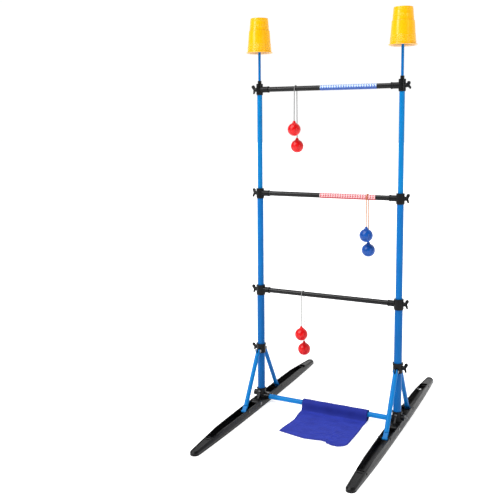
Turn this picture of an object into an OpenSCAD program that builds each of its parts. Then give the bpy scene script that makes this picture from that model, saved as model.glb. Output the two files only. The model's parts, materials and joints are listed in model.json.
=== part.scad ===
// Ladder toss frame: two telescoping uprights on folding foot rails, three rungs between them,
// a crossbar with a cloth flap, a target cup on a rod over each upright, and a bola on each rung.
// X runs along the rungs, Y from front (-) to rear (+), Z up. The origin is on the ground, midway.
// Every upright part is drawn for the right-hand upright: its inner side is -X, its outer side +X.

/* [Frame] */
// Distance between the two uprights, centre to centre
post_gap = 453; // [420:1:500]
// Height of the top rung
top_rung_z = 1016; // [1000:1:1040]
// Height of the middle rung
middle_rung_z = 691; // [680:1:700]
// Height of the bottom rung
bottom_rung_z = 378; // [374:1:384]
// Height of the crossbar that joins the two hubs
crossbar_z = 23; // [22:1:25]

/* [Tubes] */
// Diameter of the lower tube of each upright
lower_tube_d = 24; // [24:0.1:24.4]
// Diameter of the middle tube, which slides in the lower one
middle_tube_d = 20; // [19.6:0.1:20]
// Diameter of the upper tube, which slides in the middle one
upper_tube_d = 16; // [15.6:0.1:16]
// Wall of every tube
tube_wall = 1; // [0.8:0.1:1]
// Diameter of the three rungs
rung_d = 15.5; // [15:0.1:16]
// Diameter of the crossbar
crossbar_d = 16; // [15:0.1:16]
// Diameter of the rod that carries a target cup
rod_d = 8; // [6:0.5:8]
// Diameter of a folding strut
strut_d = 14; // [13:0.5:14]

/* [Foot rails] */
// Length of one half rail, from the upright to its tip
rail_reach = 437; // [420:1:450]
// Width of the rail at its foot, beside the upright
rail_w = 42; // [42:1:44]
// Width of the rail at its top edge, beside the upright
rail_top_w = 34; // [34:1:36]
// Width of the rounded tip at its foot
tip_w = 27; // [24:1:30]
// Height of the rail
rail_h = 21; // [20:1:22]
// How far a half rail folds up, in degrees
fold_angle = 86; // [80:1:86]

/* [Target cups] */
// Diameter of the cup at its rim
cup_rim_d = 82; // [80:1:86]
// Diameter of the cup at its closed end
cup_end_d = 58; // [54:1:60]
// Height of the rim above the ground, the cup being upside down
cup_rim_z = 1128; // [1120:1:1135]
// Height of the cup
cup_h = 106; // [104:1:108]

/* [Bolas] */
// Diameter of a ball
ball_d = 40; // [38:0.5:41]
// Diameter of the cord between two balls
bola_cord_d = 2.5; // [2:0.1:2.6]

/* [Flap] */
// Width of the cloth flap along the crossbar
flap_w = 214; // [200:1:230]
// How far the flap lies out in front of the crossbar
flap_reach = 205; // [190:1:210]

/* [Hidden] */
$fn = 48;
BLACK = [0.11, 0.11, 0.12];
BLUE = [0.02, 0.42, 0.82];
CLOTH_BLUE = [0.18, 0.2, 0.68];
YELLOW = [1, 0.76, 0.02];
RED = [0.86, 0.08, 0.1];
BALL_BLUE = [0.16, 0.28, 0.7];
WHITE = [0.94, 0.94, 0.92];
ORANGE = [0.95, 0.66, 0.15];
STEEL = [0.62, 0.63, 0.65];

fit_gap = 0.05; // radial gap of a fixed joint
run_gap = 0.05; // radial gap of a joint that turns or slides
cut = 1; // extra length of a cutting tool

// Hub and rail hinge
hub_half_l = 30; // the hub's own stretch of rail runs this far to the front and the rear
hub_lip_l = 36; // and this far below the hinges, hollowed round the rails' ends
hub_top_z = 50;
socket_d = 29;
tube_foot_z = 8;
crossbar_end_x = 17; // from the upright's axis
boss_reach = 30;
boss_screw_x = -23;
pivot_y = 42;
pivot_z = 12;
pivot_pin_d = 6;
rail_end_r = pivot_z; // rounding of the rail's inner end round its hinge
seat_gap = 0.4;
tongue_w = 26;
tongue_r = 8;

// Rail trough
rail_start = pivot_y - rail_end_r;
skirt_z = 8; // the rail's sides stand upright to here, and lean in above
slope_y = 280; // the rail's top falls from here to its tip
tip_h = 13;
tip_r = tip_w / 2;
tip_centre_y = rail_reach - tip_r;
top_tip_r = tip_r - 4; // rounding of the top edge at the tip
rail_taper = 2.7; // exponent of the curve from the widest part to the tip
trough_end = 350;
trough_wall = 3;
trough_floor = 3;
pad_rim = 2.2;
pad_dip = 1.2;
outline_steps = 12;
rib_start = 146;

// Struts and collars
collar_bottom_z = 169;
collar_top_z = 199;
collar_d = 29;
lug_w = 4.6;
lug_pin_y = 22.5;
lug_pin_z = 179;
strut_pin_d = 5;
strut_foot_y = 126;
strut_foot_z = 13;
strut_bend_y = 113;
strut_bend_z = 27;
strut_tab_w = 13;
strut_tab_t = 7;
pin_head_d = 9;
boss_face_x = 10.2; // inner face of the rail's round bosses, beside a strut's foot
strut_cap_x = 19.4; // outer face of the same bosses

// Clamps at the rungs
clamp_below = 17; // the clamp's barrel starts this far below the rung
clamp_above = 15;
shoulder_above = 8; // the outer tube ends this far above the rung
sleeve_d = 18.5;
sleeve_reach = 32; // from the upright's axis
screw_d = 6;
clamp_screw_drop = 11; // fixing screw below the rung
fixing_d = 4;
fixing_head_d = 7.5;
fixing_head_h = 1.6;
overlap_l = 60; // a sliding tube reaches this far below the rung of its clamp

// Bola hang: where each ball hangs below its rung, front ball first
top_bola_x = -104;
middle_bola_x = 128;
bottom_bola_x = -80;
top_drops = [124, 176];
middle_drops = [113, 161];
bottom_drops = [128, 182];
nub_h = 6; // cord neck above the ball's surface
strand_y = 9.7; // the cord's centre line, beside the rung
ball_lean = 2; // each strand leans out this far by the time it meets its ball

// Printed grip bands on the rungs
band_start_x = -22;
band_end_x = 153;
band_t = 0.4;

// ---- Placing and basic shapes ----

// Puts a right-hand upright's part on the named side.
module at_post(side) {
    mirror([side == "left" ? 1 : 0, 0, 0])
        translate([post_gap / 2, 0, 0])
            children();
}

// Turns a rear part into a front one.
module facing(way) {
    mirror([0, way == "front" ? 1 : 0, 0])
        children();
}

module rod_x(d, x0, x1) {
    translate([x0, 0, 0])
        rotate([0, 90, 0])
            cylinder(d = d, h = x1 - x0);
}

module rod_y(d, y0, y1) {
    translate([0, y1, 0])
        rotate([90, 0, 0])
            cylinder(d = d, h = y1 - y0);
}

module tube_z(d, z0, z1) {
    translate([0, 0, z0])
        difference() {
            cylinder(d = d, h = z1 - z0);
            translate([0, 0, -cut])
                cylinder(d = d - 2 * tube_wall, h = z1 - z0 + 2 * cut);
        }
}

module tube_x(d, x0, x1) {
    difference() {
        rod_x(d, x0, x1);
        rod_x(d - 2 * tube_wall, x0 - cut, x1 + cut);
    }
}

// A plate of thickness t, centred on X = 0, drawn as (y, z) points.
module plate_yz(t) {
    translate([-t / 2, 0, 0])
        rotate([90, 0, 90])
            linear_extrude(t)
                children();
}

// A pan-headed screw or rivet along +Y: shank from y0 to y1, then the head.
module screw_y(y0, y1) {
    rod_y(fixing_d, y0, y1);
    translate([0, y1 + fixing_head_h, 0])
        rotate([90, 0, 0])
            cylinder(d1 = fixing_head_d - 2, d2 = fixing_head_d, h = fixing_head_h);
}

// ---- Hub ----

module rail_section(w_bottom, w_top, h) {
    polygon([
        [-w_bottom / 2, 0], [w_bottom / 2, 0], [w_bottom / 2, skirt_z],
        [w_top / 2, h], [-w_top / 2, h], [-w_bottom / 2, skirt_z]
    ]);
}

module hub_tongue() {
    translate([-tongue_w / 2, 0, pivot_z - tongue_r])
        cube([tongue_w, pivot_y, 2 * tongue_r]);
    translate([0, pivot_y, pivot_z])
        rod_x(2 * tongue_r, -tongue_w / 2, tongue_w / 2);
}

module hub_skirt() {
    difference() {
        rotate([90, 0, 0])
            linear_extrude(2 * hub_lip_l, center = true)
                rail_section(rail_w, rail_top_w, rail_h);
        for (way = ["front", "rear"])
            facing(way) {
                translate([0, pivot_y, pivot_z])
                    rod_x(2 * (rail_end_r + seat_gap), -rail_w, rail_w);
                translate([-rail_w, hub_half_l, pivot_z])
                    cube([2 * rail_w, pivot_y, rail_h]);
            }
    }
}

module hub_body() {
    hub_skirt();
    translate([0, 0, rail_h])
        cylinder(d1 = rail_top_w, d2 = socket_d, h = 12);
    cylinder(d = socket_d, h = hub_top_z);
    translate([0, 0, hub_top_z - 4])
        cylinder(d = socket_d + 2, h = 3);
    plate_yz(6)
        polygon([
            [-hub_half_l, rail_h - 2], [hub_half_l, rail_h - 2], [13, hub_top_z - 14], [-13, hub_top_z - 14]
        ]);
    for (way = ["front", "rear"])
        facing(way)
            hub_tongue();
    translate([0, 0, crossbar_z])
        rod_x(crossbar_d + 6, -boss_reach, 0);
    translate([0, 0, crossbar_z + 8])
        rod_x(18, 0, boss_reach - 6);
}

module hub(side) {
    color(BLACK)
        at_post(side)
            difference() {
                hub_body();
                translate([0, 0, tube_foot_z])
                    cylinder(d = lower_tube_d + 2 * fit_gap, h = hub_top_z);
                translate([0, 0, crossbar_z])
                    rod_x(crossbar_d + 2 * fit_gap, -boss_reach - cut, -crossbar_end_x);
                translate([boss_screw_x, 0, crossbar_z])
                    cylinder(d = fixing_d + 2 * fit_gap, h = 20);
                translate([0, 0, crossbar_z + 8])
                    rod_x(8, boss_reach - 10, boss_reach);
                translate([0, 0, hub_top_z - 9])
                    rod_y(fixing_d + 2 * fit_gap, -socket_d, socket_d);
                for (way = [-1, 1])
                    translate([0, way * pivot_y, pivot_z])
                        rod_x(pivot_pin_d + 2 * fit_gap, -rail_w, rail_w);
            }
}

module crossbar() {
    color(BLUE)
        difference() {
            translate([0, 0, crossbar_z])
                tube_x(crossbar_d, crossbar_end_x - post_gap / 2, post_gap / 2 - crossbar_end_x);
            for (side = ["left", "right"])
                at_post(side)
                    translate([boss_screw_x, 0, crossbar_z])
                        cylinder(d = fixing_d + 2 * fit_gap, h = 20);
        }
}

module rail_hinge_pins() {
    color(STEEL)
        for (side = ["left", "right"], way = [-1, 1])
            at_post(side)
                translate([0, way * pivot_y, pivot_z]) {
                    rod_x(pivot_pin_d, -18.6, 18.6);
                    rod_x(10, 18.5, 20);
                    rod_x(10, -20, -18.5);
                }
}

// ---- Foot rails ----

function rail_half(y, mid, tip) = tip + (mid - tip) * (1 - pow(y / tip_centre_y, rail_taper));

// Outline of a half rail from y0 to its round tip, for a given half width beside the upright and at the tip.
function rail_side(y0, y1, mid, tip) =
    [for (i = [0 : outline_steps]) let (y = y0 + (y1 - y0) * i / outline_steps) [rail_half(y, mid, tip), y]];
function tip_arc(tip) = [for (a = [15 : 15 : 165]) [tip * cos(a), tip_centre_y + tip * sin(a)]];
function rail_outline(y0, mid, tip) =
    let (edge = rail_side(y0, tip_centre_y, mid, tip))
        concat(edge, tip_arc(tip), [for (i = [len(edge) - 1 : -1 : 0]) [-edge[i][0], edge[i][1]]]);
function trough_outline(y0, y1, mid, tip) =
    let (edge = rail_side(y0, y1, mid, tip))
        concat(edge, [for (i = [len(edge) - 1 : -1 : 0]) [-edge[i][0], edge[i][1]]]);

module rail_shell() {
    hull() {
        linear_extrude(skirt_z)
            polygon(rail_outline(rail_start, rail_w / 2, tip_r));
        translate([0, 0, rail_h - 1])
            linear_extrude(1)
                polygon(trough_outline(rail_start, slope_y, rail_top_w / 2, top_tip_r));
        translate([0, 0, tip_h - 1])
            linear_extrude(1)
                polygon(concat([[-top_tip_r, tip_centre_y], [top_tip_r, tip_centre_y]], tip_arc(top_tip_r)));
    }
}

module rail_trough() {
    inner_mid = rail_w / 2 - trough_wall;
    inner_top = rail_top_w / 2 - trough_wall;
    hull() {
        translate([0, 0, trough_floor])
            linear_extrude(1)
                polygon(trough_outline(rail_start - cut, trough_end, inner_mid, tip_r - trough_wall));
        translate([0, 0, rail_h])
            linear_extrude(1)
                polygon(trough_outline(rail_start - cut, trough_end, inner_top, top_tip_r - trough_wall));
    }
}

// Shallow dish in the sloping top of the end pad
module pad_dish() {
    intersection() {
        linear_extrude(rail_h + cut)
            intersection() {
                polygon(rail_outline(rail_start, rail_top_w / 2 - pad_rim, top_tip_r - pad_rim));
                translate([-rail_w, trough_end + 5])
                    square([2 * rail_w, rail_reach]);
            }
        translate([-rail_w, slope_y, rail_h - pad_dip])
            rotate([-atan((rail_h - tip_h) / (tip_centre_y - slope_y)), 0, 0])
                cube([2 * rail_w, rail_reach, rail_h]);
    }
}

module rail_ribs() {
    translate([-4, rib_start, 1])
        cube([8, trough_end - rib_start, trough_floor + 2.5]);
    for (x = [-8, 6.6])
        translate([x, rib_start, 1])
            cube([1.4, trough_end - rib_start, trough_floor + 1]);
    for (y = [196 : 7 : trough_end - 16])
        translate([-10, y, 1])
            cube([20, 1.6, trough_floor + 0.2]);
    translate([-12, trough_end - 14, 1])
        cube([24, 2.2, rail_h - 7]);
}

module rail(side, way) {
    color(BLACK)
        at_post(side)
            facing(way)
                difference() {
                    union() {
                        difference() {
                            rail_shell();
                            rail_trough();
                        }
                        intersection() {
                            rail_shell();
                            rail_ribs();
                        }
                        for (s = [0, 1])
                            mirror([s, 0, 0])
                                translate([0, strut_foot_y, strut_foot_z])
                                    rod_x(12, boss_face_x, strut_cap_x);
                    }
                    // Pocket under the strut's foot, which dips while the rail folds
                    translate([-boss_face_x, 70, 0.9])
                        cube([2 * boss_face_x, 70, trough_floor]);
                    // Inner end rounded about the hinge
                    difference() {
                        translate([-rail_w, rail_start - cut, -cut])
                            cube([2 * rail_w, pivot_y - rail_start + cut, rail_h + 2 * cut]);
                        translate([0, pivot_y, pivot_z])
                            rod_x(2 * rail_end_r, -rail_w - cut, rail_w + cut);
                    }
                    translate([0, pivot_y, pivot_z]) {
                        rod_x(pivot_pin_d + 2 * run_gap, -rail_w, rail_w);
                        rod_x(11, 18.2, rail_w);
                        rod_x(11, -rail_w, -18.2);
                    }
                    translate([0, trough_end - 5, rail_h / 2])
                        rod_x(6, 0, rail_w);
                    // Slot at the trough's end
                    translate([-14, trough_end - 28, -cut])
                        cube([8, 20, rail_h]);
                    pad_dish();
                }
}

// ---- Struts and collars ----

strut_angle = atan((strut_bend_y - lug_pin_y) / (lug_pin_z - strut_bend_z));
strut_l = norm([strut_bend_y - lug_pin_y, lug_pin_z - strut_bend_z]);
tab_angle = atan2(strut_foot_z - strut_bend_z, strut_foot_y - strut_bend_y);
tab_l = norm([strut_foot_y - strut_bend_y, strut_foot_z - strut_bend_z]);

// The strut's straight tube, hanging down from its top pin, then its flattened and bent foot.
module strut(side, way) {
    color(BLUE)
        at_post(side)
            facing(way)
                difference() {
                    union() {
                        translate([0, lug_pin_y, lug_pin_z])
                            rotate([strut_angle, 0, 0])
                                translate([0, 0, -strut_l])
                                    difference() {
                                        union() {
                                            cylinder(d = strut_d, h = strut_l + 2);
                                            translate([0, 0, strut_l + 2])
                                                cylinder(d1 = strut_d, d2 = strut_d - 8, h = 4);
                                        }
                                        translate([0, 0, 10])
                                            cylinder(d = strut_d - 2 * tube_wall, h = strut_l - 9);
                                        translate([-lug_w / 2 - 0.2, -strut_d, strut_l - 10])
                                            cube([lug_w + 0.4, 2 * strut_d, 20]);
                                    }
                        translate([0, strut_bend_y, strut_bend_z])
                            rotate([tab_angle, 0, 0])
                                plate_yz(strut_tab_w) {
                                    translate([0, -strut_tab_t / 2])
                                        square([tab_l, strut_tab_t]);
                                    circle(d = strut_tab_t);
                                    translate([tab_l, 0])
                                        circle(d = strut_tab_t);
                                }
                        translate([0, strut_foot_y, strut_foot_z]) {
                            rod_x(strut_tab_t + 1, -strut_tab_w / 2 - 1.4, strut_tab_w / 2 + 1.4);
                            rod_x(4, -9, 9);
                        }
                    }
                    translate([0, lug_pin_y, lug_pin_z])
                        rod_x(strut_pin_d + 2 * run_gap, -strut_d, strut_d);
                }
}

module collar(side) {
    color(BLACK)
        at_post(side)
            difference() {
                union() {
                    translate([0, 0, collar_bottom_z])
                        cylinder(d = collar_d, h = collar_top_z - collar_bottom_z);
                    translate([0, 0, collar_top_z - 5])
                        cylinder(d = collar_d + 3, h = 5);
                    for (way = ["front", "rear"])
                        facing(way)
                            plate_yz(lug_w) {
                                translate([0, lug_pin_z - 5])
                                    square([lug_pin_y, 10]);
                                translate([lug_pin_y, lug_pin_z])
                                    circle(r = 5);
                            }
                    translate([0, 0, collar_top_z - 14])
                        rod_x(13, 0, collar_d / 2 + 3);
                }
                translate([0, 0, collar_bottom_z - cut])
                    cylinder(d = lower_tube_d + 2 * run_gap, h = collar_top_z - collar_bottom_z + 2 * cut);
                for (way = [-1, 1])
                    translate([0, way * lug_pin_y, lug_pin_z])
                        rod_x(strut_pin_d + 2 * fit_gap, -strut_d, strut_d);
                translate([0, 0, collar_top_z - 14])
                    rod_x(screw_d + 2 * run_gap, 0, collar_d);
            }
}

module collar_pins(side) {
    color(STEEL)
        at_post(side)
            for (way = [-1, 1])
                translate([0, way * lug_pin_y, lug_pin_z]) {
                    rod_x(strut_pin_d, -strut_d / 2 - 0.6, strut_d / 2 + 0.6);
                    rod_x(pin_head_d, strut_d / 2 + 0.5, strut_d / 2 + 1.8);
                    rod_x(pin_head_d, -strut_d / 2 - 1.8, -strut_d / 2 - 0.5);
                }
}

// ---- Uprights ----

module lower_tube(side) {
    color(BLUE)
        at_post(side)
            difference() {
                tube_z(lower_tube_d, tube_foot_z, bottom_rung_z + shoulder_above);
                translate([0, 0, hub_top_z - 9])
                    rod_y(fixing_d + 2 * fit_gap, -lower_tube_d, lower_tube_d);
                post_holes(bottom_rung_z);
            }
}

module middle_tube(side) {
    color(BLUE)
        at_post(side)
            difference() {
                tube_z(middle_tube_d, bottom_rung_z - overlap_l, middle_rung_z + shoulder_above);
                post_holes(middle_rung_z);
            }
}

module upper_tube(side) {
    color(BLUE)
        at_post(side)
            difference() {
                tube_z(upper_tube_d, middle_rung_z - overlap_l, top_rung_z + shoulder_above);
                post_holes(top_rung_z);
            }
}

// Holes near a tube's top end: the knob's screw passes the outer wall, the fixing screw the rear one.
module post_holes(rung_z) {
    translate([0, 0, rung_z])
        rod_x(screw_d + 1, 0, lower_tube_d);
    translate([0, 0, rung_z - clamp_screw_drop])
        rod_y(fixing_d + 2 * fit_gap, 0, lower_tube_d);
}

// A bush on a sliding tube's foot: a flange that runs in the tube outside, and a spigot inside its own tube.
module slide_bush(side, own_d, outer_d, foot_z) {
    color(WHITE)
        at_post(side)
            translate([0, 0, foot_z])
                difference() {
                    union() {
                        translate([0, 0, -8])
                            cylinder(d = outer_d - 2 * tube_wall - 2 * run_gap, h = 8);
                        cylinder(d = own_d - 2 * tube_wall - 2 * fit_gap, h = 14);
                    }
                    translate([0, 0, -8 - cut])
                        cylinder(d = own_d - 2 * tube_wall - 4, h = 22 + 2 * cut);
                }
}

// The clamp on the top end of a tube: barrel, rung sleeve on the inner side, screw boss on the outer one.
module clamp_body(rung_z, barrel_d, top_z) {
    bottom_z = rung_z - clamp_below;
    translate([0, 0, bottom_z])
        cylinder(d1 = barrel_d - 2, d2 = barrel_d, h = 3);
    translate([0, 0, bottom_z + 3])
        cylinder(d = barrel_d, h = top_z - bottom_z - 3);
    translate([0, 0, rung_z]) {
        rod_x(sleeve_d, -sleeve_reach, 0);
        rod_x(sleeve_d + 1.6, -sleeve_reach, -sleeve_reach + 3);
        rod_x(13, 0, barrel_d / 2 + 3);
    }
}

module clamp_bores(rung_z, barrel_d, tube_d) {
    translate([0, 0, rung_z - clamp_below - cut])
        cylinder(d = tube_d + 2 * fit_gap, h = clamp_below + shoulder_above + cut);
    translate([0, 0, rung_z]) {
        rod_x(rung_d + 2 * fit_gap, -sleeve_reach - cut, -rung_end(barrel_d) + 1);
        rod_x(screw_d + 2 * run_gap, 0, barrel_d);
    }
    translate([0, 0, rung_z - clamp_screw_drop])
        rod_y(fixing_d + 2 * fit_gap, 0, barrel_d);
}

function rung_end(barrel_d) = barrel_d / 2 + 1;
function barrel_over(tube_d) = tube_d + 5;

module tube_clamp(side, rung_z, tube_d, sliding_d) {
    barrel_d = barrel_over(tube_d);
    color(BLACK)
        at_post(side)
            difference() {
                clamp_body(rung_z, barrel_d, rung_z + clamp_above);
                clamp_bores(rung_z, barrel_d, tube_d);
                translate([0, 0, rung_z])
                    cylinder(d = sliding_d + 2 * run_gap, h = clamp_above + cut);
            }
}

module top_connector(side) {
    barrel_d = barrel_over(upper_tube_d);
    color(BLACK)
        at_post(side)
            difference() {
                union() {
                    clamp_body(top_rung_z, barrel_d, top_rung_z + clamp_above + 3);
                    translate([0, 0, top_rung_z])
                        cylinder(d = 12, h = clamp_above + 12);
                }
                clamp_bores(top_rung_z, barrel_d, upper_tube_d);
                cylinder(d = rod_d + 2 * fit_gap, h = top_rung_z + 60);
            }
}

// A rung from clamp to clamp.
module rung(rung_z, tube_d) {
    end_x = post_gap / 2 - rung_end(barrel_over(tube_d)) + 0.5;
    translate([0, 0, rung_z])
        tube_x(rung_d, -end_x, end_x);
}

// A printed grip band round a rung.
module band(rung_z) {
    translate([0, 0, rung_z])
        difference() {
            rod_x(rung_d + 2 * fit_gap + 2 * band_t, band_start_x, band_end_x);
            rod_x(rung_d + 2 * fit_gap, band_start_x - cut, band_end_x + cut);
        }
}

// Fixing screws through both clamps at one rung.
module clamp_screws(rung_z, tube_d) {
    for (side = ["left", "right"])
        at_post(side)
            translate([0, 0, rung_z - clamp_screw_drop])
                screw_y(tube_d / 2 - tube_wall, barrel_over(tube_d) / 2);
}

module base_screws() {
    color(STEEL) {
        clamp_screws(bottom_rung_z, lower_tube_d);
        for (side = ["left", "right"])
            at_post(side) {
                for (way = ["front", "rear"])
                    facing(way)
                        translate([0, 0, hub_top_z - 9])
                            screw_y(lower_tube_d / 2 - tube_wall, socket_d / 2);
                translate([boss_screw_x, 0, crossbar_z])
                    rotate([90, 0, 0])
                        screw_y(crossbar_d / 2 - tube_wall, crossbar_d / 2 + 3);
            }
    }
}

// ---- Wing knobs ----

// A wing knob on a screw along +X: the two lobes stand in the (x, z) plane before it is turned.
module wing_knob(side, axis_z, boss_x, tip_x, turn) {
    lobe_t = 4.5;
    root_x = boss_x + 0.4;
    color(BLACK)
        at_post(side)
            translate([0, 0, axis_z])
                rotate([turn, 0, 0]) {
                    rod_x(screw_d, tip_x, root_x + 1);
                    rod_x(12, root_x, root_x + 5);
                    rotate([90, 0, 0])
                        translate([0, 0, -lobe_t / 2])
                            linear_extrude(lobe_t) {
                                hull() {
                                    translate([root_x + 3.5, 0])
                                        circle(d = 7);
                                    translate([root_x + 7, 9.5])
                                        circle(d = 10);
                                }
                                hull() {
                                    translate([root_x + 3.5, 0])
                                        circle(d = 7);
                                    translate([root_x + 7.5, -11])
                                        circle(d = 5);
                                }
                            }
                }
}

// ---- Rods and cups ----

cup_wall = 1.1;
cup_dish = 3.5; // the closed end lies this far inside its foot ring
rod_l = cup_rim_z + cup_h - cup_dish - cup_wall - 2.4 - (top_rung_z - 24); // up to the bevel of its tip

module cup_rod(side) {
    color(BLUE)
        at_post(side)
            translate([0, 0, top_rung_z - 24]) {
                cylinder(d = rod_d, h = rod_l);
                translate([0, 0, rod_l])
                    cylinder(d1 = rod_d, d2 = rod_d - 3, h = 2);
            }
}

// The cup stands upside down: thin walls, a step, grip rings near the rim and a rolled rim.
module cup(side) {
    wall = cup_wall;
    step_z = cup_h * 0.64;
    slope = (cup_rim_d - cup_end_d) / 2 / cup_h;
    function cup_r(z) = cup_rim_d / 2 - slope * z;
    outer = [[cup_r(0), 0], [cup_r(step_z) + 0.8, step_z], [cup_r(step_z) - 1, step_z + 1.5],
             [cup_r(cup_h), cup_h]];
    inner = [[cup_r(cup_h) - wall - 1, cup_h], [cup_r(cup_h) - wall - 2, cup_h - cup_dish],
             [0, cup_h - cup_dish], [0, cup_h - cup_dish - wall],
             [cup_r(cup_h) - wall - 1, cup_h - cup_dish - wall],
             [cup_r(step_z) - 1 - wall, step_z + 1], [cup_r(step_z) + 0.8 - wall, step_z - 0.5],
             [cup_r(0) - wall, 0]];
    color(YELLOW)
        at_post(side)
            translate([0, 0, cup_rim_z])
                rotate_extrude($fn = 96) {
                    polygon(concat(outer, inner));
                    translate([cup_r(0) - 0.4, 1.6])
                        circle(d = 3.2, $fn = 24);
                    for (z = [10, 15, 20, 25])
                        translate([cup_r(z) - 0.2, z])
                            circle(d = 1.4, $fn = 16);
                    for (z = [cup_h - 8, cup_h - 13])
                        translate([cup_r(z) - 0.5, z])
                            circle(d = 1.2, $fn = 16);
                }
}

// ---- Bolas ----

module ball(y, drop) {
    translate([0, y, -drop]) {
        sphere(d = ball_d, $fn = 64);
        cylinder(d1 = 12, d2 = 6, h = ball_d / 2 + nub_h - 2);
        translate([0, 0, ball_d / 2 + nub_h - 3])
            cylinder(d = 6, h = 3);
    }
}

module bola_balls(x, rung_z, drops) {
    translate([x, 0, rung_z]) {
        ball(-strand_y - ball_lean, drops[0]);
        ball(strand_y + ball_lean, drops[1]);
    }
}

// One straight strand, as (y, z) points from its ball's neck up to the rung.
function strand(sign, drop, steps) =
    let (l = drop - ball_d / 2 - nub_h)
        [for (i = [0 : steps]) let (t = i / steps) [sign * (strand_y + ball_lean * (1 - t)), -l * (1 - t)]];
function over_rung() = [for (a = [157.5 : -22.5 : 22.5]) [strand_y * cos(a), strand_y * sin(a)]];
function reversed(list) = [for (i = [len(list) - 1 : -1 : 0]) list[i]];
function bola_route(drops) =
    concat(strand(-1, drops[0], 14), over_rung(), reversed(strand(1, drops[1], 20)));

// A cord of eight sides swept along (y, z) points.
module sweep_cord(route, d) {
    sides = 8;
    last = len(route) - 1;
    function along(i) = route[min(i + 1, last)] - route[max(i - 1, 0)];
    function ring(i) =
        let (u = along(i) / norm(along(i)))
            [for (k = [0 : sides - 1])
                let (a = 360 * k / sides, out = d / 2 * cos(a))
                    [d / 2 * sin(a), route[i][0] - u[1] * out, route[i][1] + u[0] * out]];
    points = [for (i = [0 : last]) each ring(i)];
    ends = [[for (k = [0 : sides - 1]) k], [for (k = [sides - 1 : -1 : 0]) last * sides + k]];
    walls = [for (i = [0 : last - 1], k = [0 : sides - 1])
        [i * sides + k, (i + 1) * sides + k, (i + 1) * sides + (k + 1) % sides, i * sides + (k + 1) % sides]];
    polyhedron(points, concat(ends, walls));
}

module bola_cord(x, rung_z, drops) {
    translate([x, 0, rung_z])
        sweep_cord(bola_route(drops), bola_cord_d);
}

// ---- Flap ----

// The cloth: a hem loop round the crossbar, and the flap that lies on the ground in front of it.
module flap() {
    x0 = -77;
    x1 = x0 + flap_w;
    color(CLOTH_BLUE)
        difference() {
            union() {
                translate([x0, 0, 0])
                    rotate([90, 0, 90])
                        linear_extrude(flap_w) {
                            translate([0, crossbar_z])
                                circle(r = 14);
                            polygon([
                                [-13.4, crossbar_z - 4], [-34, 3.4], [-34, 0.4], [2, 0.4],
                                [13.4, crossbar_z - 4]
                            ]);
                        }
                translate([0, 0, 0.4])
                    linear_extrude(3)
                        polygon([
                            [x0, -20], [x0 + 1, -60], [x0 + 2, -110], [x0 - 1, -150],
                            [x0 - 5, 20 - flap_reach],
                            [x0 + 40, 8 - flap_reach], [x0 + 85, 2 - flap_reach], [x0 + 140, 8 - flap_reach],
                            [x0 + 170, -flap_reach], [x1 - 2, 10 - flap_reach], [x1 + 4, -110], [x1 - 1, -60],
                            [x1, -20]
                        ]);
            }
            translate([0, 0, crossbar_z])
                rod_x(crossbar_d + 2, x0 - cut, x1 + cut);
        }
}

hub("left");  // hub_left
hub("right");  // hub_right
crossbar();
lower_tube("left");  // lower_tube_left
lower_tube("right");  // lower_tube_right
tube_clamp("left", bottom_rung_z, lower_tube_d, middle_tube_d);  // lower_clamp_left
tube_clamp("right", bottom_rung_z, lower_tube_d, middle_tube_d);  // lower_clamp_right
color(BLACK) rung(bottom_rung_z, lower_tube_d);  // bottom_rung
rail_hinge_pins();
base_screws();
rail("left", "front");  // rail_front_left
rail("left", "rear");  // rail_rear_left
rail("right", "front");  // rail_front_right
rail("right", "rear");  // rail_rear_right
strut("left", "front");  // strut_front_left
strut("left", "rear");  // strut_rear_left
strut("right", "front");  // strut_front_right
strut("right", "rear");  // strut_rear_right
collar("left");  // collar_left
collar("right");  // collar_right
collar_pins("left");  // collar_pins_left
collar_pins("right");  // collar_pins_right
wing_knob("left", collar_top_z - 14, collar_d / 2 + 3, lower_tube_d / 2 + 0.3, 25);  // collar_knob_left
wing_knob("right", collar_top_z - 14, collar_d / 2 + 3, lower_tube_d / 2 + 0.3, -20);  // collar_knob_right
wing_knob("left", bottom_rung_z, barrel_over(lower_tube_d) / 2 + 3, middle_tube_d / 2 + 0.3, 15);  // lower_knob_left
wing_knob("right", bottom_rung_z, barrel_over(lower_tube_d) / 2 + 3, middle_tube_d / 2 + 0.3, 0);  // lower_knob_right
wing_knob("left", middle_rung_z, barrel_over(middle_tube_d) / 2 + 3, upper_tube_d / 2 + 0.3, -15);  // middle_knob_left
wing_knob("right", middle_rung_z, barrel_over(middle_tube_d) / 2 + 3, upper_tube_d / 2 + 0.3, 0);  // middle_knob_right
wing_knob("left", top_rung_z, barrel_over(upper_tube_d) / 2 + 3, rod_d / 2 + 0.3, 20);  // top_knob_left
wing_knob("right", top_rung_z, barrel_over(upper_tube_d) / 2 + 3, rod_d / 2 + 0.3, 50);  // top_knob_right
middle_tube("left");  // middle_tube_left
middle_tube("right");  // middle_tube_right
slide_bush("left", middle_tube_d, lower_tube_d, bottom_rung_z - overlap_l);  // middle_bush_left
slide_bush("right", middle_tube_d, lower_tube_d, bottom_rung_z - overlap_l);  // middle_bush_right
tube_clamp("left", middle_rung_z, middle_tube_d, upper_tube_d);  // middle_clamp_left
tube_clamp("right", middle_rung_z, middle_tube_d, upper_tube_d);  // middle_clamp_right
color(BLACK) rung(middle_rung_z, middle_tube_d);  // middle_rung
color(RED) band(middle_rung_z);  // middle_band
color(STEEL) clamp_screws(middle_rung_z, middle_tube_d);  // middle_screws
upper_tube("left");  // upper_tube_left
upper_tube("right");  // upper_tube_right
slide_bush("left", upper_tube_d, middle_tube_d, middle_rung_z - overlap_l);  // upper_bush_left
slide_bush("right", upper_tube_d, middle_tube_d, middle_rung_z - overlap_l);  // upper_bush_right
top_connector("left");  // top_connector_left
top_connector("right");  // top_connector_right
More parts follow.
